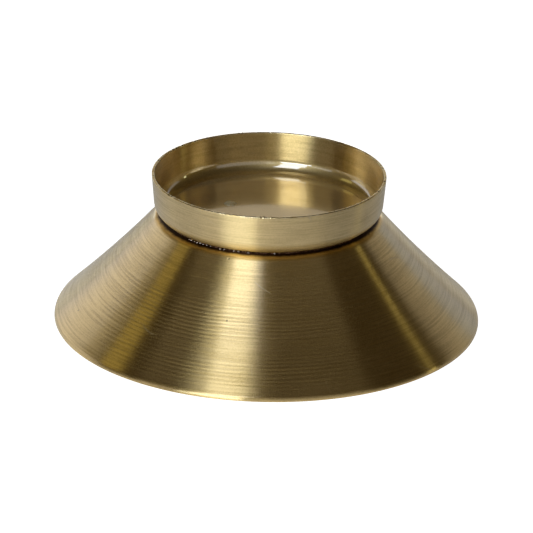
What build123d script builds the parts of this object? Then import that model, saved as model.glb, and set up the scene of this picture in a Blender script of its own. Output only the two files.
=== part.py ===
from build123d import *
import math
import os

# A candle plate of spun brass: a hollow conical base, a shallow cup on its flat top,
# and the solder between them.
# Millimetres, +Z up. The origin is on the axis, at the height of the surface that the base stands on.

# Cup, drawn from sheet: its rim is the widest part, and its wall opens towards the rim
cup_rim_diameter = 65.75
cup_height = 11.9
cup_sheet = 0.75
cup_flare = 4.9
cup_bend = 3.45
rim_edge_radius = 0.2

# Base, spun from sheet: flat deck, rounded shoulder, slightly hollow slope,
# and an edge turned down to an upright foot
base_diameter = 120.0
deck_height = 30.75
deck_overhang = 2.1
base_sheet = 0.8
shoulder_bend = 2.3
slope_hollow_radius = 360.0
foot_bend = 0.9
foot_upright = 0.1

# Solder, a film under the cup's floor that ends in a hollow fillet round the cup's lower corner
solder_film = 0.15
solder_climb = 0.3
solder_hollow = 0.12

# The cup's wall line meets the plane of its underside at the wall foot, and its bend starts from the flat
flare = math.radians(cup_flare)
cup_underside = deck_height + solder_film
rim_height = cup_underside + cup_height
wall_foot_radius = cup_rim_diameter / 2 - cup_height * math.tan(flare)
cup_outer_bend = cup_bend + cup_sheet
cup_flat_radius = wall_foot_radius - cup_outer_bend * math.tan((math.pi / 2 - flare) / 2)

# Centres of the base's two round bends, in radius and height
base_radius = base_diameter / 2
shoulder_outer_bend = shoulder_bend + base_sheet
foot_outer_bend = foot_bend + base_sheet
shoulder_centre = (cup_flat_radius + deck_overhang, deck_height - shoulder_outer_bend)
foot_centre = (base_radius - foot_outer_bend, foot_upright)


def meeting_point(a, reach_a, b, reach_b):
    """The point at the given reach from a and from b, on the left of the way from a to b."""
    span = math.dist(a, b)
    along = (reach_a**2 - reach_b**2 + span**2) / (2 * span)
    aside = math.sqrt(reach_a**2 - along**2)
    way = ((b[0] - a[0]) / span, (b[1] - a[1]) / span)
    return (a[0] + along * way[0] - aside * way[1], a[1] + along * way[1] + aside * way[0])


def bearing(start, end):
    """The direction from one point to another, in degrees from the level."""
    return math.degrees(math.atan2(end[1] - start[1], end[0] - start[0]))


# The slope's arc touches both bends from outside, so its centre lies out in front of the slope
slope_centre = meeting_point(
    shoulder_centre,
    slope_hollow_radius + shoulder_outer_bend,
    foot_centre,
    slope_hollow_radius + foot_outer_bend,
)
shoulder_end = bearing(shoulder_centre, slope_centre)
foot_start = bearing(foot_centre, slope_centre)


def turned_shell(outer_line, sheet, inner_side):
    """A shell of even thickness, turned about the axis from the line of its outer face."""
    with BuildPart() as shell:
        with BuildSketch(Plane.XZ):
            with BuildLine():
                add(outer_line)
                offset(amount=sheet, side=inner_side)
            make_face()
        revolve(axis=Axis.Z)
    return shell.part


def base_cone():
    """Deck, shoulder, slope and foot, from the axis outwards and down to the table."""
    with BuildLine() as outer:
        Line((0, deck_height), (shoulder_centre[0], deck_height))
        CenterArc(shoulder_centre, shoulder_outer_bend, 90, shoulder_end - 90)
        CenterArc(slope_centre, slope_hollow_radius, shoulder_end + 180, foot_start - shoulder_end)
        CenterArc(foot_centre, foot_outer_bend, foot_start, -foot_start)
        Line((base_radius, foot_upright), (base_radius, 0))
    return turned_shell(outer.line, base_sheet, Side.RIGHT)


def candle_cup():
    """Flat floor, round corner and opening wall, with the rim cut level and its two edges broken."""
    overlength = cup_sheet
    outline = [
        (0, cup_underside),
        (wall_foot_radius, cup_underside),
        (cup_rim_diameter / 2 + overlength * math.tan(flare), rim_height + overlength),
    ]
    with BuildLine() as outer:
        FilletPolyline(*outline, radius=cup_outer_bend)
    drawn = turned_shell(outer.line, cup_sheet, Side.LEFT)
    trimmed = split(drawn, Plane.XY.offset(rim_height), keep=Keep.BOTTOM)
    rim_edges = trimmed.edges().group_by(Axis.Z)[-1]
    return fillet(rim_edges, rim_edge_radius)


def solder_joint(base, cup):
    """The space between deck and cup, filled as far out as the solder climbs round the cup's corner."""
    reach = math.sqrt(cup_outer_bend**2 - (cup_outer_bend - solder_climb) ** 2)
    edge_radius = cup_flat_radius + reach
    low = deck_height - base_sheet / 2
    high = cup_underside + (solder_climb + cup_sheet) / 2
    with BuildPart() as blank:
        with BuildSketch(Plane.XZ):
            with BuildLine():
                Polyline((edge_radius, low), (0, low), (0, high), (edge_radius, high))
                SagittaArc((edge_radius, high), (edge_radius, low), -solder_hollow)
            make_face()
        revolve(axis=Axis.Z)
    return blank.part - base - cup


base = base_cone()
cup = candle_cup()
solder = solder_joint(base, cup)

os.makedirs("parts", exist_ok=True)
for name, piece in [("base_cone", base), ("candle_cup", cup), ("solder_joint", solder)]:
    export_step(piece, f"parts/{name}.step")
    box = piece.bounding_box()
    print(name, len(piece.solids()), "solid", round(piece.volume, 2), "mm3", box.min, box.max)
print("slope at the shoulder", round(90 - shoulder_end, 2), "at the foot", round(90 - foot_start, 2))
print("cup flat radius", round(cup_flat_radius, 3), "deck flat radius", round(shoulder_centre[0], 3))
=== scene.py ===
import bpy
import math
import random
from mathutils import Matrix, Quaternion, Vector, noise


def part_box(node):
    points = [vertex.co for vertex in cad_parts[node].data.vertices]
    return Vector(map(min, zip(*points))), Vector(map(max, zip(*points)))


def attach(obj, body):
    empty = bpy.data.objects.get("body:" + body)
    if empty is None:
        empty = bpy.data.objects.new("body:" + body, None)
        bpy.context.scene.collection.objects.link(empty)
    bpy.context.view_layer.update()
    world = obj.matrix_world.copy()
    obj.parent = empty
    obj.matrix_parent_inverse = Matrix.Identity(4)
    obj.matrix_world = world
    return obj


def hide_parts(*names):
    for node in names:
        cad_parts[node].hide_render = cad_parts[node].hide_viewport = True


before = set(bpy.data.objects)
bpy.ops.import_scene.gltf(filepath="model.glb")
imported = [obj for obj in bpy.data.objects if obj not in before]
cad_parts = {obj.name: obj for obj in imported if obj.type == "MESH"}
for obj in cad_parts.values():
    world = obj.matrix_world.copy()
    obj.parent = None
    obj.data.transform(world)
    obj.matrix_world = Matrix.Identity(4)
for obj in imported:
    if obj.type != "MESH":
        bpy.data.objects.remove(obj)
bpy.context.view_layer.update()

# A brushed brass candle plate: a spun conical base, a shallow drawn cup and the solder between them.
# Metres, +Z up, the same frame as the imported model. The viewer is on the side of -Y, and turns
# about the axis run from there, positive to the viewer's right.

MM = 0.001
FULL_TURN = 2 * math.pi

# Sizes read from the frame
BASE_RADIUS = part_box("base_cone")[1].x
DECK_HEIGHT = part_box("base_cone")[1].z
CUP_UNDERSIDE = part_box("candle_cup")[0].z
RIM_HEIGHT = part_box("candle_cup")[1].z
SOLDER_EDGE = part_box("solder_joint")[1].x
SOLDER_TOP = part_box("solder_joint")[1].z

# Sheet metal sizes that the boxes of the frame don't hold
BASE_SHEET = 0.8 * MM
DECK_OVERHANG = 2.1 * MM
SHOULDER_BEND = 2.3 * MM
SLOPE_HOLLOW_RADIUS = 360 * MM
FOOT_BEND = 0.9 * MM
FOOT_UPRIGHT = 0.1 * MM
RIM_RADIUS = 32.875 * MM
CUP_SHEET = 0.75 * MM
CUP_BEND = 3.45 * MM
CUP_FLARE = math.radians(4.9)
RIM_EDGE = 0.2 * MM
SOLDER_HOLLOW = 0.12 * MM

# Solder is drawn clear of the two sheets by this much, so that no two faces lie in one plane
SOLDER_CLEAR = 0.01 * MM

# Lines that both shells are laid out from
CUP_FLOOR = CUP_UNDERSIDE + CUP_SHEET
CUP_OUTER_BEND = CUP_BEND + CUP_SHEET
WALL_FOOT_RADIUS = RIM_RADIUS - (RIM_HEIGHT - CUP_UNDERSIDE) * math.tan(CUP_FLARE)
CUP_FLAT_RADIUS = WALL_FOOT_RADIUS - CUP_OUTER_BEND * math.tan((math.pi / 2 - CUP_FLARE) / 2)
CUP_CORNER = (CUP_FLAT_RADIUS, CUP_UNDERSIDE + CUP_OUTER_BEND)
DECK_FLAT_RADIUS = CUP_FLAT_RADIUS + DECK_OVERHANG

# Faces in one turn of each round piece
BASE_SEGMENTS = 512
CUP_SEGMENTS = 1080
SEAM_SEGMENTS = 1080
DROP_SEGMENTS = 48


# Turning: closed outlines in radius and height, spun about the axis


def straight(start, end, steps):
    """Points from start towards end, without the end itself."""
    (r0, z0), (r1, z1) = start, end
    return [(r0 + (r1 - r0) * i / steps, z0 + (z1 - z0) * i / steps) for i in range(steps)]


def on_arc(centre, radius, angle):
    """The point of a circle at an angle in radians from the outward level."""
    return (centre[0] + radius * math.cos(angle), centre[1] + radius * math.sin(angle))


def bend(centre, radius, start, stop, steps):
    """Points of an arc from the start angle towards the stop angle, without the last one."""
    return [on_arc(centre, radius, start + (stop - start) * i / steps) for i in range(steps)]


def meeting_point(a, reach_a, b, reach_b):
    """The point at the given reach from a and from b, on the left of the way from a to b."""
    span = math.dist(a, b)
    along = (reach_a**2 - reach_b**2 + span**2) / (2 * span)
    aside = math.sqrt(reach_a**2 - along**2)
    way = ((b[0] - a[0]) / span, (b[1] - a[1]) / span)
    return (a[0] + along * way[0] - aside * way[1], a[1] + along * way[1] + aside * way[0])


def bearing(start, end):
    """The direction from one point to another, in radians from the outward level."""
    return math.atan2(end[1] - start[1], end[0] - start[0])


def walked_lengths(points):
    """Distance travelled along an outline at each of its points, as a share of the whole."""
    walked = [0.0]
    for a, b in zip(points, points[1:]):
        walked.append(walked[-1] + math.dist(a, b))
    return [length / walked[-1] for length in walked]


def turned(name, stretches, segments, shape=None):
    """A closed mesh spun from stretches of outline, the first and last of which meet the axis.

    A stretch is a finish and its points. The map "turning" has U running round and V along the outline.
    shape, where given, moves a point by its radius, height and turn, to leave a round form ragged.
    """
    finishes = list(dict.fromkeys(finish for finish, points in stretches))
    outline = [point for finish, points in stretches for point in points]
    finish_at = [finishes.index(finish) for finish, points in stretches for point in points]
    verts = [(0, 0, outline[0][1])]
    for r, z in outline[1:-1]:
        for i in range(segments):
            turn = FULL_TURN * i / segments
            rr, zz = shape(r, z, turn) if shape else (r, z)
            verts.append((rr * math.sin(turn), -rr * math.cos(turn), zz))
    verts.append((0, 0, outline[-1][1]))
    rings = len(outline) - 2
    last = 1 + (rings - 1) * segments
    faces, cells = [], []
    for i in range(segments):
        j = (i + 1) % segments
        faces.append((0, 1 + i, 1 + j))
        faces += [
            (a + i, a + segments + i, a + segments + j, a + j)
            for a in range(1, last, segments)
        ]
        faces.append((last + i, len(verts) - 1, last + j))
        cells += [(i, k) for k in range(rings + 1)]
    mesh = bpy.data.meshes.new(name)
    mesh.from_pydata(verts, [], faces)
    for finish in finishes:
        mesh.materials.append(finish)
    lay = mesh.uv_layers.new(name="turning")
    walked = walked_lengths(outline)
    for face, (i, k) in zip(mesh.polygons, cells):
        left, right = i / segments, (i + 1) / segments
        low, high = walked[k], walked[k + 1]
        if k == 0:
            corners = [((left + right) / 2, low), (left, high), (right, high)]
        elif k == rings:
            corners = [(left, low), ((left + right) / 2, high), (right, low)]
        else:
            corners = [(left, low), (left, high), (right, high), (right, low)]
        for loop, uv in zip(face.loop_indices, corners):
            lay.data[loop].uv = uv
        face.use_smooth = True
        face.material_index = finish_at[k]
    mesh.update()
    piece = bpy.data.objects.new(name, mesh)
    bpy.context.scene.collection.objects.link(piece)
    return piece


# Node helpers: a number is given as a value or a socket, and a result comes back as a socket

# The middle of a noise or a wave that runs from 0 to 1
MIDDLE = 0.5


def node(tree, kind, **values):
    """A shader node with properties set by name, and inputs by name where no property has it."""
    made = tree.nodes.new(kind)
    for key, value in values.items():
        if hasattr(made, key):
            setattr(made, key, value)
        else:
            made.inputs[key].default_value = value
    return made


def sums(tree, operation, first, second=None, clamp=False):
    """One sum on values or sockets; clamp holds it from 0 to 1."""
    made = tree.nodes.new("ShaderNodeMath")
    made.operation = operation
    made.use_clamp = clamp
    for slot, value in enumerate((first, second)):
        if isinstance(value, (int, float)):
            made.inputs[slot].default_value = value
        elif value is not None:
            tree.links.new(value, made.inputs[slot])
    return made.outputs[0]


def times(tree, first, second, clamp=False):
    """One value times another."""
    return sums(tree, "MULTIPLY", first, second, clamp)


def plus(tree, *values, clamp=False):
    """All the values added up."""
    total, *middle, last = values
    for value in middle:
        total = sums(tree, "ADD", total, value)
    return sums(tree, "ADD", total, last, clamp)


def minus(tree, first, second):
    """One value less another."""
    return sums(tree, "SUBTRACT", first, second)


def swing(tree, value, size):
    """A value from 0 to 1 as a swing about nothing, of the given size."""
    return times(tree, minus(tree, value, MIDDLE), size)


def hypotenuse(tree, first, second):
    """The distance that two distances at a right angle add up to."""
    return sums(tree, "SQRT", plus(tree, times(tree, first, first), times(tree, second, second)))


def eased(tree, value, low, high):
    """0 at low, 1 at high, eased between them; low may be above high."""
    made = tree.nodes.new("ShaderNodeMapRange")
    made.interpolation_type = "SMOOTHSTEP"
    tree.links.new(value, made.inputs["Value"])
    for key, bound in (("From Min", low), ("From Max", high)):
        if isinstance(bound, (int, float)):
            made.inputs[key].default_value = bound
        else:
            tree.links.new(bound, made.inputs[key])
    return made.outputs["Result"]


def tinted(tree, colour, other, share):
    """A colour, as values or a socket, mixed towards another by a share."""
    made = tree.nodes.new("ShaderNodeMix")
    made.data_type = "RGBA"
    for key, value in (("A", colour), ("B", other)):
        if isinstance(value, tuple):
            made.inputs[key].default_value = (*value, 1)
        else:
            tree.links.new(value, made.inputs[key])
    tree.links.new(share, made.inputs["Factor"])
    return made.outputs["Result"]


def own_place(tree):
    """The place of a point in its own piece, in metres."""
    return node(tree, "ShaderNodeTexCoord").outputs["Object"]


def own_axes(tree):
    """The same place as x, y and height."""
    axes = node(tree, "ShaderNodeSeparateXYZ")
    tree.links.new(own_place(tree), axes.inputs[0])
    return axes.outputs


def place_noise(tree, scale, detail, roughness=0.5):
    """Noise that lies in the piece, with about as many waves in a metre as the scale says."""
    made = node(tree, "ShaderNodeTexNoise", Scale=scale, Detail=detail, Roughness=roughness)
    tree.links.new(own_place(tree), made.inputs["Vector"])
    return made.outputs["Fac"]


def added_shaders(tree, first, second):
    """Two shaders on one surface."""
    made = node(tree, "ShaderNodeAddShader")
    tree.links.new(first, made.inputs[0])
    tree.links.new(second, made.inputs[1])
    return made.outputs[0]


def mixed_shader(tree, share, first, second):
    """The first shader where the share is 0 and the second where it is 1."""
    made = node(tree, "ShaderNodeMixShader")
    for slot, value in enumerate((share, first, second)):
        tree.links.new(value, made.inputs[slot])
    return made.outputs[0]


def new_group(name, inputs, outputs):
    """An empty shader node group with number sockets, its input node and its output node."""
    group = bpy.data.node_groups.new(name, "ShaderNodeTree")
    for label, start in inputs:
        socket = group.interface.new_socket(label, in_out="INPUT", socket_type="NodeSocketFloat")
        socket.default_value = start
    for label in outputs:
        group.interface.new_socket(label, in_out="OUTPUT", socket_type="NodeSocketFloat")
    return group, group.nodes.new("NodeGroupInput"), group.nodes.new("NodeGroupOutput")


# Marks that the finishes share. A pair is where an eased edge starts and where it is full.

# No direction is worked out closer to the axis than this
NEAR_AXIS = 0.5 * MM

# The ripple of the spinning tool rises and fades along the slope, in millimetres down from the shoulder.
# It drifts and it comes in patches, over lengths that are given in ripples.
RIPPLE_RISE = (3, 17)
RIPPLE_FADE = (46, 27)
RIPPLE_DRIFT = 1.4
DRIFT_LENGTH = 6
RIPPLE_PATCHES = (0.2, 0.55)
PATCH_LENGTH = 9

# It is strongest where the tool chattered, given as a direction from the axis
CHATTER_SIDE = (-0.36, -0.93)
CHATTER_EDGE = (0.55, 0.98)
CHATTER_STRENGTH = 0.38
PLAIN_STRENGTH = 0.12

# Pits sit in a few cells of a loose pattern, and their edge is a share of a cell
PIT_CHANCE = 0.05
PIT_EDGE = (0.075, 0.03)

# Hairlines are the thin level lines of a slow noise, kept only in some patches
HAIRLINE_EDGE = (0.005, 0.0015)
HAIRLINE_PATCHES = (0.55, 0.63)

# The darkening and the warm tint round the seam are full inside this share of their reach: painted groove
# shade and painted warm reflection on the outside, heat stain and heat tint on the underside
SEAM_CORE = 0.45


def turning_marks_group():
    """Marks of spinning and brushing: fine lines, the tool's turns, a slow wander, grain, pits, hairlines."""
    outputs = ["Lines", "Turns", "Wander", "Grain", "Pits", "Hairlines"]
    inputs = [("Line pitch mm", 0.3), ("Turn pitch mm", 0.9)]
    group, given, out = new_group("turning marks", inputs, outputs)
    x, y, height = own_axes(group)
    across = hypotenuse(group, x, y)
    safe = sums(group, "MAXIMUM", across, NEAR_AXIS)
    round_x, round_y = sums(group, "DIVIDE", x, safe), sums(group, "DIVIDE", y, safe)
    # Distance down and out along a slope of about 45 degrees, in millimetres
    down = times(group, minus(group, across, height), 1 / (math.sqrt(2) * MM))

    def ring_noise(pitch, breaks, detail):
        """Noise drawn out round the axis: breaks says how often a ring changes on its way round."""
        row = node(group, "ShaderNodeCombineXYZ")
        group.links.new(times(group, round_x, breaks), row.inputs[0])
        group.links.new(times(group, round_y, breaks), row.inputs[1])
        group.links.new(sums(group, "DIVIDE", down, pitch), row.inputs[2])
        made = node(group, "ShaderNodeTexNoise", Scale=1.0, Detail=detail, Roughness=0.6)
        group.links.new(row.outputs[0], made.inputs["Vector"])
        return made.outputs["Fac"]

    def ripples(pitch):
        """The regular groove of the spinning tool, deepest half way down the slope at the front left."""
        drift = ring_noise(times(group, pitch, DRIFT_LENGTH), breaks=0.9, detail=1)
        phase = plus(group, sums(group, "DIVIDE", down, pitch), times(group, drift, RIPPLE_DRIFT))
        wave = sums(group, "SINE", times(group, phase, FULL_TURN))
        middle = times(group, eased(group, down, *RIPPLE_RISE), eased(group, down, *RIPPLE_FADE))
        patches = ring_noise(times(group, pitch, PATCH_LENGTH), breaks=0.7, detail=0)
        fade = eased(group, patches, *RIPPLE_PATCHES)
        toward_x, toward_y = CHATTER_SIDE
        facing = plus(group, times(group, round_x, toward_x), times(group, round_y, toward_y))
        chatter = times(group, eased(group, facing, *CHATTER_EDGE), CHATTER_STRENGTH)
        side = plus(group, chatter, PLAIN_STRENGTH)
        strength = times(group, times(group, middle, fade), side)
        return plus(group, times(group, wave, strength), MIDDLE)

    def pits():
        """Small round pits, one in a few cells."""
        cells = node(group, "ShaderNodeTexVoronoi", Scale=190.0, Randomness=1.0)
        group.links.new(own_place(group), cells.inputs["Vector"])
        pick = node(group, "ShaderNodeSeparateColor")
        group.links.new(cells.outputs["Color"], pick.inputs[0])
        chosen = sums(group, "GREATER_THAN", pick.outputs[0], 1 - PIT_CHANCE)
        return times(group, chosen, eased(group, cells.outputs["Distance"], *PIT_EDGE))

    def hairlines():
        """Fine bent scratches."""
        slow = place_noise(group, scale=38, detail=0)
        level = sums(group, "ABSOLUTE", minus(group, slow, MIDDLE))
        patches = place_noise(group, scale=90, detail=1)
        return times(
            group,
            eased(group, level, *HAIRLINE_EDGE),
            eased(group, patches, *HAIRLINE_PATCHES),
        )

    values = {
        "Lines": ring_noise(given.outputs["Line pitch mm"], breaks=2.6, detail=2),
        "Turns": ripples(given.outputs["Turn pitch mm"]),
        "Wander": place_noise(group, scale=55, detail=2),
        "Grain": place_noise(group, scale=2400, detail=2),
        "Pits": pits(),
        "Hairlines": hairlines(),
    }
    for label, value in values.items():
        group.links.new(value, out.inputs[label])
    return group


def seam_shade_and_stain_group():
    """Darkening in the groove of the soldered seam and a warm tint round it: painted groove shade and a
    painted warm reflection on the outside of the plate, heat stain and heat tint on the underside.
    """
    inputs = [("Stain reach mm", 1.2), ("Warm reach mm", 2.5), ("Ragged mm", 0.5)]
    group, given, out = new_group("seam shade and stain", inputs, ["Stain", "Warm"])
    x, y, height = own_axes(group)
    outward = minus(group, hypotenuse(group, x, y), SOLDER_EDGE)
    upward = minus(group, height, (DECK_HEIGHT + SOLDER_TOP) / 2)
    away = sums(group, "DIVIDE", hypotenuse(group, outward, upward), MM)
    ragged = place_noise(group, scale=420, detail=3, roughness=0.6)
    # The edge strays by up to the ragged length to either side
    stray = times(group, given.outputs["Ragged mm"], 2)
    edge = plus(group, away, swing(group, ragged, stray))
    for label in ("Stain", "Warm"):
        reach = given.outputs[f"{label} reach mm"]
        group.links.new(eased(group, edge, reach, times(group, reach, SEAM_CORE)), out.inputs[label])
    return group


TURNING_MARKS = turning_marks_group()
SEAM_SHADE_AND_STAIN = seam_shade_and_stain_group()


# Finishes: all heights and depths of relief are in millimetres

# Colours of the metal
BRASS = (0.80, 0.61, 0.285)
BRASS_DULL = (0.60, 0.44, 0.18)
BRASS_SPUN = (0.80, 0.585, 0.25)
BRASS_SPUN_DULL = (0.60, 0.42, 0.155)
# A warm tint: painted warm reflection round the seam outside, heat tint on the underside
BRASS_WARM = (0.79, 0.47, 0.08)
BRASS_CUT = (0.86, 0.72, 0.44)
BRASS_ROLLED = (0.92, 0.75, 0.44)
# Near black: dirt in pits and flux on the beads, and painted groove shade round the seam and on the solder in
# the groove
FLUX_AND_SHADE = (0.045, 0.02, 0.007)
# Dark brown: heat stain on the underside, and painted groove shade as the colour of the solder in the groove
HEAT_STAIN_AND_SHADE = (0.24, 0.13, 0.08)
TIN = (0.93, 0.82, 0.76)
LACQUER = (0.8, 0.68, 0.42)

# What the brushed finishes have in common: colour
WANDER_TONE = 0.6
DULL_EDGE = (-0.25, 0.35)
# How far the painted warm reflection round the seam tints the brass
WARM_SHARE = 0.8
HAIRLINE_SHARE = 0.5
PIT_SHARE = 0.7

# Roughness: the last is the least that it falls to, as a share of its middle value
GRAIN_LUSTRE = 0.16
# Roughness rises under the painted groove shade round the seam
GROOVE_SHADE_ROUGHNESS = 0.3
HAIRLINE_ROUGHNESS = 0.3
LEAST_ROUGHNESS = 0.94

# Lacquer and relief
LACQUER_COVER = 0.95
LACQUER_WEAR = 0.4
BURNT_SHARE = 0.7
PIT_DEPTH = 0.03
HAIRLINE_DEPTH = 0.006

# Brushing runs round the axis, and a highlight is drawn out across it, a quarter turn away
BRUSH_TURN = 0.25


def new_finish(name, **values):
    """A material with one Principled shader, whose constant sockets are set by name."""
    finish = bpy.data.materials.new(name)
    finish.use_nodes = True
    tree = finish.node_tree
    tree.nodes.clear()
    out = node(tree, "ShaderNodeOutputMaterial")
    metal = node(tree, "ShaderNodeBsdfPrincipled")
    for key, value in values.items():
        metal.inputs[key.replace("_", " ")].default_value = value
    tree.links.new(metal.outputs[0], out.inputs["Surface"])
    return finish, tree, metal


def place_group(tree, group, **values):
    """A shared node group with its own values; returns its outputs by name."""
    made = node(tree, "ShaderNodeGroup", node_tree=group)
    for key, value in values.items():
        made.inputs[key.replace("_", " ")].default_value = value
    return made.outputs


def feed(tree, metal, **sockets):
    """Links sockets to the inputs of a shader by name."""
    for key, socket in sockets.items():
        tree.links.new(socket, metal.inputs[key.replace("_", " ")])


def brush_round(tree, metal):
    """Lays the brushing of a shader round the axis."""
    round_way = node(tree, "ShaderNodeTangent", direction_type="UV_MAP", uv_map="turning")
    metal.inputs["Anisotropic Rotation"].default_value = BRUSH_TURN
    feed(tree, metal, Tangent=round_way.outputs[0])


def relief_bump(tree, metal, height):
    """Turns a height in millimetres into the normal of a shader."""
    bump = node(tree, "ShaderNodeBump", Strength=1.0, Distance=MM)
    tree.links.new(height, bump.inputs["Height"])
    feed(tree, metal, Normal=bump.outputs[0])


def brushed_brass(name, roughness, line_pitch, line_lustre, line_height, line_tone=0.6,
                  turn_pitch=0.9, turn_lustre=0.0, turn_height=0.0, turn_tone=0.0, grain_tone=1.5,
                  tone=BRASS, dull_tone=BRASS_DULL, anisotropy=1.0, coat_roughness=0.16, coat_ior=1.65,
                  groove_shade_reach=0.01, warm_reflection_reach=0.02):
    """Brass brushed in rings under a thin lacquer. Pitches and reaches are in millimetres.

    Lines are the rings of the brush, and turns the ripple of the spinning tool, which only the base has.
    Lustre, height and tone say how far roughness, relief and dullness swing from ring to ring, and a
    negative one swings the other way. Round the seam the finish carries painted groove shade and a painted
    warm reflection, whose reaches start out too short to show.
    """
    finish, tree, metal = new_finish(
        name, Metallic=1.0, Anisotropic=anisotropy, Coat_Roughness=coat_roughness, Coat_IOR=coat_ior,
    )
    brush_round(tree, metal)
    marks = place_group(tree, TURNING_MARKS, Line_pitch_mm=line_pitch, Turn_pitch_mm=turn_pitch)
    seam = place_group(tree, SEAM_SHADE_AND_STAIN, Stain_reach_mm=groove_shade_reach, Warm_reach_mm=warm_reflection_reach)
    # The duller tone shows between the lines, in slow patches and in the grain
    shade = plus(tree, swing(tree, marks["Lines"], line_tone), swing(tree, marks["Wander"], WANDER_TONE))
    dull = plus(
        tree,
        eased(tree, shade, *DULL_EDGE),
        swing(tree, marks["Turns"], turn_tone),
        swing(tree, marks["Grain"], grain_tone),
        clamp=True,
    )
    colour = tinted(tree, tone, dull_tone, dull)
    # Painted warm reflection round the seam
    colour = tinted(tree, colour, BRASS_WARM, times(tree, seam["Warm"], WARM_SHARE))
    colour = tinted(tree, colour, BRASS_CUT, times(tree, marks["Hairlines"], HAIRLINE_SHARE))
    colour = tinted(tree, colour, FLUX_AND_SHADE, times(tree, marks["Pits"], PIT_SHARE))
    # Painted shade in the groove of the seam
    colour = tinted(tree, colour, FLUX_AND_SHADE, seam["Stain"])
    rough = plus(
        tree,
        swing(tree, marks["Lines"], line_lustre),
        swing(tree, marks["Turns"], turn_lustre),
        swing(tree, marks["Grain"], GRAIN_LUSTRE),
        times(tree, seam["Stain"], GROOVE_SHADE_ROUGHNESS),
        times(tree, marks["Hairlines"], HAIRLINE_ROUGHNESS),
        roughness,
    )
    rough = sums(tree, "MAXIMUM", rough, LEAST_ROUGHNESS * roughness)
    # The lacquer is worn thin in slow patches, and burnt off round the seam where the painted warm reflection
    # and the painted groove shade lie
    lacquer = plus(tree, swing(tree, marks["Wander"], LACQUER_WEAR), LACQUER_COVER)
    burnt = sums(tree, "MAXIMUM", seam["Stain"], times(tree, seam["Warm"], BURNT_SHARE))
    coat = times(tree, lacquer, minus(tree, 1.0, burnt), clamp=True)
    feed(tree, metal, Base_Color=colour, Roughness=rough, Coat_Weight=coat)
    rings = plus(tree, times(tree, marks["Lines"], line_height), times(tree, marks["Turns"], turn_height))
    cuts = plus(tree, times(tree, marks["Pits"], PIT_DEPTH), times(tree, marks["Hairlines"], HAIRLINE_DEPTH))
    relief_bump(tree, metal, minus(tree, rings, cuts))
    return finish


def lacquered_floor_brass():
    """The cup's floor: rolled smooth under a lacquer that is a little cloudy and uneven."""
    roughness, roughness_swing = 0.15, 0.1
    cover, wear = 0.95, 0.3
    pit_share = 0.5
    cloud_edge = (0.25, 0.8)
    cloud_height, hairline_depth = 0.05, 0.008
    finish, tree, metal = new_finish(
        "lacquered_floor_brass", Metallic=0.78, Coat_Roughness=0.04, Coat_IOR=1.9,
    )
    marks = place_group(tree, TURNING_MARKS)
    colour = tinted(tree, BRASS_ROLLED, BRASS, eased(tree, marks["Wander"], *cloud_edge))
    colour = tinted(tree, colour, FLUX_AND_SHADE, times(tree, marks["Pits"], pit_share))
    rough = plus(tree, swing(tree, marks["Wander"], roughness_swing), roughness)
    coat = plus(tree, swing(tree, marks["Wander"], wear), cover, clamp=True)
    feed(tree, metal, Base_Color=colour, Roughness=rough, Coat_Weight=coat)
    clouds = times(tree, marks["Wander"], cloud_height)
    relief_bump(tree, metal, minus(tree, clouds, times(tree, marks["Hairlines"], hairline_depth)))
    return finish


def cut_rim_brass():
    """The sheared edge of the sheet: bare, brighter brass with small tears."""
    roughness, roughness_swing = 0.2, 0.2
    dull_edge = (0.4, 0.65)
    tear_height = 0.03
    finish, tree, metal = new_finish("cut_rim_brass", Metallic=1.0)
    tears = place_noise(tree, scale=2600, detail=2)
    patches = place_noise(tree, scale=300, detail=2)
    colour = tinted(tree, BRASS_CUT, BRASS_DULL, eased(tree, patches, *dull_edge))
    rough = plus(tree, swing(tree, tears, roughness_swing), roughness)
    feed(tree, metal, Base_Color=colour, Roughness=rough)
    relief_bump(tree, metal, times(tree, tears, tear_height))
    return finish


def raw_underside_brass():
    """The inside of the base: spun but not brushed, dull, stained round the middle by the soldering heat."""
    roughness, roughness_swing = 0.42, 0.2
    shade_share, dull_edge = 0.6, (0.2, 0.7)
    warm_share, heat_share, pit_share = 0.7, 0.75, 0.8
    line_height, turn_height = 0.004, 0.03
    finish, tree, metal = new_finish("raw_underside_brass", Metallic=1.0, Anisotropic=0.5)
    brush_round(tree, metal)
    marks = place_group(tree, TURNING_MARKS, Line_pitch_mm=0.5, Turn_pitch_mm=1.6)
    seam = place_group(tree, SEAM_SHADE_AND_STAIN, Stain_reach_mm=9.0, Warm_reach_mm=16.0, Ragged_mm=5.0)
    shade = times(tree, plus(tree, marks["Turns"], marks["Wander"]), shade_share)
    colour = tinted(tree, BRASS, BRASS_DULL, eased(tree, shade, *dull_edge))
    colour = tinted(tree, colour, BRASS_WARM, times(tree, seam["Warm"], warm_share))
    colour = tinted(tree, colour, HEAT_STAIN_AND_SHADE, times(tree, seam["Stain"], heat_share))
    colour = tinted(tree, colour, FLUX_AND_SHADE, times(tree, marks["Pits"], pit_share))
    rough = plus(tree, swing(tree, marks["Turns"], roughness_swing), roughness)
    feed(tree, metal, Base_Color=colour, Roughness=rough)
    rings = plus(tree, times(tree, marks["Lines"], line_height), times(tree, marks["Turns"], turn_height))
    relief_bump(tree, metal, rings)
    return finish


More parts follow.
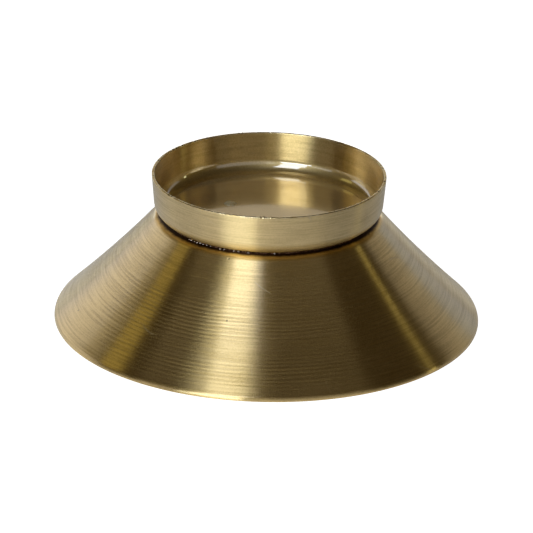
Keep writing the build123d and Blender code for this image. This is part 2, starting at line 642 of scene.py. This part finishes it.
def solder_finish(name, solder_tone, stain_and_shade_share, roughness, lump_height):
    """Solder whose hollows are darker and rougher: flux on the bright beads, and painted groove shade on the
    dark solder in the groove, whose own colour is painted groove shade as well.
    """
    hollow_edge = (0.62, 0.42)
    stain_roughness = 0.3
    finish, tree, metal = new_finish(name, Metallic=1.0)
    surface = place_noise(tree, scale=1500, detail=3, roughness=0.6)
    hollow = eased(tree, surface, *hollow_edge)
    colour = tinted(tree, solder_tone, FLUX_AND_SHADE, times(tree, hollow, stain_and_shade_share))
    rough = plus(tree, times(tree, hollow, stain_roughness), roughness)
    feed(tree, metal, Base_Color=colour, Roughness=rough)
    relief_bump(tree, metal, times(tree, surface, lump_height))
    return finish


def lacquer_finish():
    """Lacquer that dried thick: cloudy, the colour of the brass under it, uneven on top."""
    roughness, roughness_swing = 0.3, 0.2
    cover, wear = 0.85, 0.3
    cloud_edge, metal_edge = (0.35, 0.7), (0.1, 1.4)
    cloud_height = 0.03
    finish, tree, metal = new_finish("dried_lacquer", Coat_Roughness=0.05, Coat_IOR=1.5)
    cloud = place_noise(tree, scale=1100, detail=2)
    colour = tinted(tree, LACQUER, BRASS, eased(tree, cloud, *cloud_edge))
    metallic = eased(tree, cloud, *metal_edge)
    rough = plus(tree, swing(tree, cloud, roughness_swing), roughness)
    coat = plus(tree, swing(tree, cloud, wear), cover)
    feed(tree, metal, Base_Color=colour, Metallic=metallic, Roughness=rough, Coat_Weight=coat)
    relief_bump(tree, metal, times(tree, cloud, cloud_height))
    return finish


slope_brass = brushed_brass(
    "brushed_slope_brass", roughness=0.3, line_pitch=0.42, line_lustre=0.32, line_height=0.009, line_tone=1.3,
    turn_pitch=1.15, turn_lustre=-0.22, turn_height=0.025, turn_tone=-0.4,
    tone=BRASS_SPUN, dull_tone=BRASS_SPUN_DULL, coat_ior=1.52, groove_shade_reach=2.3, warm_reflection_reach=3.5,
)
wall_brass = brushed_brass(
    "brushed_wall_brass", roughness=0.35, line_pitch=0.25, line_lustre=0.2, line_height=0.004, line_tone=1.0,
    grain_tone=0.9, groove_shade_reach=0.75, warm_reflection_reach=2.4,
)
inner_brass = brushed_brass(
    "brushed_inner_brass", roughness=0.34, line_pitch=0.55, line_lustre=0.34, line_height=0.005,
    coat_roughness=0.1, coat_ior=1.45,
)
corner_brass = brushed_brass(
    "lacquered_corner_brass", roughness=0.43, line_pitch=0.4, line_lustre=0.05, line_height=0.001,
    anisotropy=0.2, coat_roughness=0.03, coat_ior=3.1,
)
floor_brass = lacquered_floor_brass()
rim_brass = cut_rim_brass()
dried_lacquer = lacquer_finish()
underside_brass = raw_underside_brass()
# The solder in the groove is dark with painted groove shade; the beads stay bright
shade_darkened_solder = solder_finish("flux_and_shade_solder", HEAT_STAIN_AND_SHADE, stain_and_shade_share=0.9, roughness=0.45, lump_height=0.05)
bright_solder = solder_finish("bright_solder", TIN, stain_and_shade_share=0.3, roughness=0.16, lump_height=0.03)


# Pieces: a pair is the least and the most of what is drawn by chance


def base_stretches():
    """Deck, shoulder, slope and foot outside, then foot, slope, shoulder and deck inside."""
    shoulder_outer, foot_outer = SHOULDER_BEND + BASE_SHEET, FOOT_BEND + BASE_SHEET
    shoulder = (DECK_FLAT_RADIUS, DECK_HEIGHT - shoulder_outer)
    foot = (BASE_RADIUS - foot_outer, FOOT_UPRIGHT)
    hollow = meeting_point(
        shoulder,
        SLOPE_HOLLOW_RADIUS + shoulder_outer,
        foot,
        SLOPE_HOLLOW_RADIUS + foot_outer,
    )
    top, low = bearing(shoulder, hollow), bearing(foot, hollow)
    deck_inside = DECK_HEIGHT - BASE_SHEET
    outside = [
        *straight((0, DECK_HEIGHT), (DECK_FLAT_RADIUS, DECK_HEIGHT), steps=8),
        *bend(shoulder, shoulder_outer, math.pi / 2, top, steps=20),
        *bend(hollow, SLOPE_HOLLOW_RADIUS, top + math.pi, low + math.pi, steps=60),
        *bend(foot, foot_outer, low, 0, steps=14),
        (BASE_RADIUS, FOOT_UPRIGHT),
        (BASE_RADIUS, 0),
    ]
    inside = [
        (BASE_RADIUS - BASE_SHEET, 0),
        *bend(foot, FOOT_BEND, 0, low, steps=8),
        *bend(hollow, SLOPE_HOLLOW_RADIUS + BASE_SHEET, low + math.pi, top + math.pi, steps=40),
        *bend(shoulder, SHOULDER_BEND, top, math.pi / 2, steps=10),
        *straight((DECK_FLAT_RADIUS, deck_inside), (0, deck_inside), steps=24),
        (0, deck_inside),
    ]
    return [(slope_brass, outside), (underside_brass, inside)]


def cup_stretches():
    """Floor inside from the axis, up the inner wall, over the rim and back down outside."""
    lean = math.tan(CUP_FLARE)
    inner_top = (RIM_RADIUS - CUP_SHEET / math.cos(CUP_FLARE) - RIM_EDGE * lean, RIM_HEIGHT - RIM_EDGE)
    outer_top = (RIM_RADIUS - RIM_EDGE * lean, RIM_HEIGHT - RIM_EDGE)
    inner_round = (inner_top[0] + RIM_EDGE, inner_top[1])
    outer_round = (outer_top[0] - RIM_EDGE, outer_top[1])
    inner_foot = on_arc(CUP_CORNER, CUP_BEND, -CUP_FLARE)
    outer_foot = on_arc(CUP_CORNER, CUP_OUTER_BEND, -CUP_FLARE)
    return [
        (floor_brass, straight((0, CUP_FLOOR), (CUP_FLAT_RADIUS, CUP_FLOOR), steps=14)),
        (corner_brass, bend(CUP_CORNER, CUP_BEND, -math.pi / 2, -CUP_FLARE, steps=18)),
        (inner_brass, straight(inner_foot, inner_top, steps=12)),
        (rim_brass, [
            *bend(inner_round, RIM_EDGE, math.pi, math.pi / 2, steps=5),
            (inner_round[0], RIM_HEIGHT),
            *bend(outer_round, RIM_EDGE, math.pi / 2, 0, steps=5),
        ]),
        (wall_brass, [
            *straight(outer_top, outer_foot, steps=12),
            *bend(CUP_CORNER, CUP_OUTER_BEND, -CUP_FLARE, -math.pi / 2, steps=18),
            *straight((CUP_FLAT_RADIUS, CUP_UNDERSIDE), (0, CUP_UNDERSIDE), steps=4),
            (0, CUP_UNDERSIDE),
        ]),
    ]


# Nicks of the sheared rim: turns at the front left in degrees, half widths and depths in millimetres,
# and how far down the wall a nick presses
NICK_SEED = 11
FRONT_NICKS = 16
FRONT_NICK_TURNS = (-24, 5)
OTHER_NICKS = 34
NICK_WIDTHS = (0.2, 0.5)
NICK_DEPTHS = (0.04, 0.13)
NICK_REACH = 0.6 * MM


def rim_nicks():
    """Small nicks and tears of the sheared rim: turn, half width and depth of each."""
    draw = random.Random(NICK_SEED)
    front = [math.radians(draw.uniform(*FRONT_NICK_TURNS)) for i in range(FRONT_NICKS)]
    elsewhere = [draw.uniform(0, FULL_TURN) for i in range(OTHER_NICKS)]
    return [
        (turn, draw.uniform(*NICK_WIDTHS) * MM, draw.uniform(*NICK_DEPTHS) * MM)
        for turn in front + elsewhere
    ]


RIM_NICKS = rim_nicks()


def nicked(r, z, turn):
    """A point of the cup, pressed down where a nick of the rim is near."""
    share = (z - RIM_HEIGHT + NICK_REACH) / NICK_REACH
    if share <= 0:
        return r, z
    depth = 0.0
    for nick, width, deep in RIM_NICKS:
        away = abs((turn - nick + math.pi) % FULL_TURN - math.pi) * RIM_RADIUS
        if away < width:
            depth = max(depth, deep * (1 - (away / width) ** 2))
    return r, z - depth * share


def solder_stretches():
    """A film between deck and cup that ends in a hollow fillet round the cup's lower corner."""
    film_top, film_low = CUP_UNDERSIDE - SOLDER_CLEAR, DECK_HEIGHT + SOLDER_CLEAR
    bend_radius = CUP_OUTER_BEND + SOLDER_CLEAR
    reach = math.asin((CUP_CORNER[1] - SOLDER_TOP) / bend_radius)
    crest = on_arc(CUP_CORNER, bend_radius, -reach)
    middle = (film_low + crest[1]) / 2
    face = [
        (SOLDER_EDGE - SOLDER_HOLLOW * (1 - ((z - middle) / (crest[1] - middle)) ** 2), z)
        for r, z in straight(crest, (SOLDER_EDGE, film_low), steps=8)
    ]
    return [(shade_darkened_solder, [
        *straight((0, film_top), (CUP_FLAT_RADIUS, film_top), steps=3),
        *bend(CUP_CORNER, bend_radius, -math.pi / 2, -reach, steps=6),
        *face,
        (SOLDER_EDGE, film_low),
        (CUP_FLAT_RADIUS, film_low),
        (0, film_low),
    ])]


# The open face of the solder runs in and out in broad and fine waves, and back by no more than a little
FLOW_START = CUP_FLAT_RADIUS + 0.8 * MM
BROAD_WAVES, BROAD_FLOW = 14, 0.14 * MM
FINE_WAVES, FINE_FLOW = 45, 0.09 * MM
FINE_PART = Vector((0, 0, 3))
MOST_BACK = 0.1 * MM


def ragged_solder(r, z, turn):
    """A point of the solder: its open face runs in and out as the metal flowed."""
    if r < FLOW_START:
        return r, z
    way = Vector((math.sin(turn), math.cos(turn), 0))
    broad = noise.noise(way * BROAD_WAVES) * BROAD_FLOW
    fine = noise.noise(way * FINE_WAVES + FINE_PART) * FINE_FLOW
    low = 1 - (z - DECK_HEIGHT) / (SOLDER_TOP - DECK_HEIGHT)
    return r + max(broad + fine, -MOST_BACK) * low, z


# Beads of solder that squeezed out on the deck: turns in degrees, distances and half sizes in millimetres.
# The first six at the front have a second bead close by, and two clusters sit out of the viewer's sight.
BEAD_SEED = 5
FRONT_BEADS = (-46.6, -42.6, -38.8, -34.4, -25.8, -18.0, -10.2, 3.6)
DOUBLED_BEADS = 6
DOUBLE_GAPS = (1.0, 2.4)
FAR_CLUSTERS = (118, 205)
CLUSTER_BEADS = 8
CLUSTER_SPREAD = 11
BEAD_DISTANCES = (29.55, 29.95)
BEAD_SIZES = (0.22, 0.4)
BEAD_RISE = 0.45
BEAD_THICKNESS = 0.7


def bead_places():
    """Middle, facing, and half sizes across and through of each bead, sunk a little into the deck."""
    draw = random.Random(BEAD_SEED)
    turns = list(FRONT_BEADS)
    turns += [turn + draw.uniform(*DOUBLE_GAPS) for turn in FRONT_BEADS[:DOUBLED_BEADS]]
    turns += [draw.gauss(middle, CLUSTER_SPREAD) for middle in FAR_CLUSTERS for i in range(CLUSTER_BEADS)]
    places = []
    for turn in map(math.radians, turns):
        away = draw.uniform(*BEAD_DISTANCES) * MM
        size = draw.uniform(*BEAD_SIZES) * MM
        middle = Vector((away * math.sin(turn), -away * math.cos(turn), DECK_HEIGHT + BEAD_RISE * size))
        places.append((middle, Vector((0, 0, 1)), size, BEAD_THICKNESS * size))
    return places


# Burrs of the rim in three groups: turns in degrees, half sizes in millimetres, and how many
BURR_SEED = 23
BURR_GROUPS = (
    ((-35, 6), (0.14, 0.28), 16),
    ((-12, 5), (0.28, 0.48), 12),
    ((0, 360), (0.1, 0.25), 24),
)
BURR_LEAN = math.radians(31)
BURR_INWARD = 0.14 * MM
BURR_DROP = 0.12 * MM
BURR_THICKNESS = 0.5


def burr_places():
    """Burrs that lie over on the outer edge of the sheared rim, most of them at the front left."""
    draw = random.Random(BURR_SEED)
    burrs = [
        (draw.uniform(*turns), draw.uniform(*sizes))
        for turns, sizes, count in BURR_GROUPS
        for i in range(count)
    ]
    places = []
    for degrees, size in burrs:
        turn = math.radians(degrees)
        outward = Vector((math.sin(turn), -math.cos(turn), 0))
        middle = outward * (RIM_RADIUS - BURR_INWARD) + Vector((0, 0, RIM_HEIGHT - BURR_DROP))
        facing = outward * math.cos(BURR_LEAN) + Vector((0, 0, math.sin(BURR_LEAN)))
        places.append((middle, facing, size * MM, BURR_THICKNESS * size * MM))
    return places


# Lumps swell and shrink by this share, in waves of noise that start elsewhere for each lump
LUMP_SWELL = 0.35
LUMP_WAVES = 1.6
LUMP_PART = 7.3


def lumps(name, places, finish):
    """Small uneven lumps of metal, each flattened along the way that it faces."""
    rows, columns = 7, 12
    verts, faces = [], []
    for number, (middle, facing, across, through) in enumerate(places):
        turn = facing.to_track_quat("Z", "Y")
        part = Vector((number * LUMP_PART, 0, 0))
        first = len(verts)
        for row in range(rows + 1):
            tilt = math.pi * row / rows
            for column in range(columns if 0 < row < rows else 1):
                spin = FULL_TURN * column / columns
                aside = math.sin(tilt)
                way = Vector((aside * math.cos(spin), aside * math.sin(spin), math.cos(tilt)))
                swell = 1 + LUMP_SWELL * noise.noise(way * LUMP_WAVES + part)
                even = Vector((way.x * across, way.y * across, way.z * through))
                verts.append(middle + (turn @ even) * swell)
        last = len(verts) - 1
        for column in range(columns):
            after = (column + 1) % columns
            faces.append((first, first + 1 + column, first + 1 + after))
            for row in range(rows - 2):
                a = first + 1 + row * columns
                faces.append((a + column, a + columns + column, a + columns + after, a + after))
            a = first + 1 + (rows - 2) * columns
            faces.append((a + column, last, a + after))
    mesh = bpy.data.meshes.new(name)
    mesh.from_pydata(verts, [], faces)
    mesh.materials.append(finish)
    for face in mesh.polygons:
        face.use_smooth = True
    made = bpy.data.objects.new(name, mesh)
    bpy.context.scene.collection.objects.link(made)
    return made


def eased_share(value, low, high):
    """0 at low, 1 at high, eased between them."""
    share = min(max((value - low) / (high - low), 0), 1)
    return share * share * (3 - 2 * share)


def lacquer_drop():
    """A drop of lacquer that dried on the cup's floor, with a steep edge and a sunken middle."""
    place = (-10.8 * MM, 4.7 * MM, CUP_FLOOR)
    radius, height, sink = 1.8 * MM, 0.4 * MM, 0.26 * MM
    steepness = 6
    hollow_edge = (0.45, 0.7)
    root_share = 0.9
    steps = 24
    crown = []
    for i in range(steps):
        share = i / steps
        dome = height * (1 - share**steepness) - sink * (1 - eased_share(share, *hollow_edge))
        crown.append((radius * share, dome))
    root = [(radius, 0), (radius * root_share, -sink), (0, -sink)]
    drop = turned("lacquer_drop", [(dried_lacquer, crown + root)], DROP_SEGMENTS)
    drop.location = place
    return drop


base = turned("spun_base", base_stretches(), BASE_SEGMENTS)
cup = turned("drawn_cup", cup_stretches(), CUP_SEGMENTS, nicked)
seam = turned("soldered_seam", solder_stretches(), SEAM_SEGMENTS, ragged_solder)
beads = lumps("solder_beads", bead_places(), bright_solder)
burrs = lumps("rim_burrs", burr_places(), rim_brass)
drop = lacquer_drop()

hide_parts("base_cone")
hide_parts("candle_cup")
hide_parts("solder_joint")
for piece, slot in [(base, "base_brass"), (cup, "cup_brass"), (seam, "solder"),
                    (beads, "solder"), (burrs, "cup_brass"), (drop, "cup_brass")]:
    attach(piece, "root")


# Studio: floor, lights, room, camera

# The picture shows floor and room as plain white
WHITE = (1, 1, 1, 1)

# The floor is pale paper that runs this far to each side
FLOOR_HALF = 30.0
FLOOR_PAPER = (0.85, 0.85, 0.85, 1)

# The plate sees a glow all over the floor, and more in a pool of light at the front left
FLOOR_TINT = (1, 0.95, 0.8, 1)
FLOOR_GLOW = 0.115
POOL_TINT = (0.96, 0.98, 1, 1)
POOL_GLOW = 0.84
POOL_PLACE = Vector((-125 * MM, -240 * MM, 0))
POOL_REACH = 360 * MM

# The room as the plate sees it: dim and warm
ROOM_TINT = (1, 0.66, 0.2, 1)
ROOM_GLOW = 0.03

# Lights stand this far from a point at the height of the cup's foot
LIGHT_DISTANCE = 1.3
LIGHT_AIM = Vector((0, 0, 30 * MM))


def make_floor():
    """A pale floor that the picture shows as white and that can be looked through from below."""
    mesh = bpy.data.meshes.new("studio_floor")
    half = FLOOR_HALF
    corners = [(-half, -half, 0), (half, -half, 0), (half, half, 0), (-half, half, 0)]
    mesh.from_pydata(corners, [], [(0, 1, 2, 3)])
    floor = bpy.data.objects.new("studio_floor", mesh)
    bpy.context.scene.collection.objects.link(floor)
    finish = bpy.data.materials.new("pale_floor")
    finish.use_nodes = True
    tree = finish.node_tree
    tree.nodes.clear()
    out = node(tree, "ShaderNodeOutputMaterial")
    surface = node(tree, "ShaderNodeNewGeometry")
    away = node(tree, "ShaderNodeVectorMath", operation="DISTANCE")
    away.inputs[1].default_value = POOL_PLACE
    tree.links.new(surface.outputs["Position"], away.inputs[0])
    pool = times(tree, eased(tree, away.outputs["Value"], POOL_REACH, 0.0), POOL_GLOW)
    even = node(tree, "ShaderNodeEmission", Color=FLOOR_TINT, Strength=FLOOR_GLOW)
    pooled = node(tree, "ShaderNodeEmission", Color=POOL_TINT)
    tree.links.new(pool, pooled.inputs["Strength"])
    white = node(tree, "ShaderNodeEmission", Color=WHITE, Strength=1.0)
    paper = node(tree, "ShaderNodeBsdfDiffuse", Color=FLOOR_PAPER)
    clear = node(tree, "ShaderNodeBsdfTransparent")
    camera_ray = node(tree, "ShaderNodeLightPath").outputs["Is Camera Ray"]
    lit = added_shaders(tree, even.outputs[0], pooled.outputs[0])
    glow = mixed_shader(tree, camera_ray, lit, white.outputs[0])
    seen = added_shaders(tree, paper.outputs[0], glow)
    whole = mixed_shader(tree, surface.outputs["Backfacing"], seen, clear.outputs[0])
    tree.links.new(whole, out.inputs["Surface"])
    mesh.materials.append(finish)


def panel(name, at, fills, radiance, colour=(1, 1, 1), roll=0):
    """A soft panel light that faces the plate.

    at is the turn and elevation of its middle and fills the half angles that it takes up there, level and
    upright, all in degrees. roll leans its top to the right as the plate sees it.
    """
    turn, elevation = map(math.radians, at)
    spread, rise = map(math.radians, fills)
    level = math.cos(elevation)
    way = Vector((level * math.sin(turn), -level * math.cos(turn), math.sin(elevation)))
    light = bpy.data.lights.new(name, "AREA")
    light.shape = "RECTANGLE"
    light.size = 2 * LIGHT_DISTANCE * math.tan(spread) * level
    light.size_y = 2 * LIGHT_DISTANCE * math.tan(rise)
    light.energy = radiance * math.pi * light.size * light.size_y
    light.color = colour
    lamp = bpy.data.objects.new(name, light)
    lamp.location = LIGHT_AIM + way * LIGHT_DISTANCE
    lamp.rotation_mode = "QUATERNION"
    facing = (-way).to_track_quat("-Z", "Y")
    lamp.rotation_quaternion = facing @ Quaternion((0, 0, 1), math.radians(roll))
    bpy.context.scene.collection.objects.link(lamp)


def make_lights():
    """A tall softbox at the front left, fills beside it, and panels and strips at the sides and behind."""
    panel("high_softbox", at=(-24.7, 51), fills=(15.3, 11), radiance=3.12, colour=(0.78, 0.86, 1))
    panel("middle_softbox", at=(-27, 27), fills=(13.8, 13), radiance=2.65, colour=(0.78, 0.87, 1))
    panel("softbox_edge", at=(-6, 22), fills=(9, 13), radiance=0.35, colour=(1, 0.97, 0.7))
    panel("low_softbox", at=(-27.8, 7), fills=(16.6, 7), radiance=5.15, colour=(0.83, 0.93, 1))
    panel("front_fill", at=(26, 21), fills=(31, 16), radiance=0.25)
    panel("low_front_fill", at=(25, 6), fills=(27, 6), radiance=0.2)
    panel("left_fill", at=(-57, 12), fills=(11, 12), radiance=0.5)
    panel("left_rear_panel", at=(-125, 13), fills=(25.9, 13), radiance=0.86, colour=(0.97, 0.98, 1))
    panel("rear_panel", at=(183, 6), fills=(26, 6), radiance=1.5, colour=(0.8, 0.9, 1))
    panel("rear_sky", at=(182, 20), fills=(27, 8), radiance=0.4, colour=(1, 0.92, 0.78))
    panel("right_rear_panel", at=(125, 13), fills=(13, 13), radiance=0.31, colour=(1, 0.97, 0.88))
    panel("right_far_panel", at=(147.5, 13), fills=(9.5, 13), radiance=0.44, colour=(0.71, 0.82, 1))
    panel("right_strip", at=(97, 12), fills=(1.5, 12), radiance=2.0, colour=(1, 0.95, 0.5), roll=-20)
    panel("left_strip", at=(-104.5, 38), fills=(7, 9), radiance=0.62, colour=(1, 0.83, 0.24), roll=45)


def make_room():
    """A dim warm room round the plate, which the picture shows as white."""
    world = bpy.data.worlds.new("studio")
    world.use_nodes = True
    tree = world.node_tree
    dim = tree.nodes["Background"]
    dim.inputs["Color"].default_value = ROOM_TINT
    dim.inputs["Strength"].default_value = ROOM_GLOW
    white = node(tree, "ShaderNodeBackground", Color=WHITE, Strength=1.0)
    camera_ray = node(tree, "ShaderNodeLightPath").outputs["Is Camera Ray"]
    seen = mixed_shader(tree, camera_ray, dim.outputs[0], white.outputs[0])
    tree.links.new(seen, tree.nodes["World Output"].inputs["Surface"])
    bpy.context.scene.world = world


def make_camera():
    """A long lens from the photograph's height; the plate leans a little clockwise in the picture."""
    elevation = math.radians(22.7)
    distance = 1.2
    lean = math.radians(1.168)
    aim = Vector((-0.225 * MM, 0, 14.664 * MM))
    data = bpy.data.cameras.new("camera")
    data.sensor_width = 36.0
    data.lens = 287.36
    camera = bpy.data.objects.new("camera", data)
    back = Vector((0, -math.cos(elevation), math.sin(elevation)))
    up = Vector((0, math.sin(elevation), math.cos(elevation)))
    turn = Matrix((Vector((1, 0, 0)), up, back)).transposed() @ Matrix.Rotation(lean, 3, "Z")
    camera.matrix_world = Matrix.Translation(aim + back * distance) @ turn.to_4x4()
    bpy.context.scene.collection.objects.link(camera)
    bpy.context.scene.camera = camera


make_floor()
make_lights()
make_room()
make_camera()
bpy.context.scene.view_settings.view_transform = "Standard"
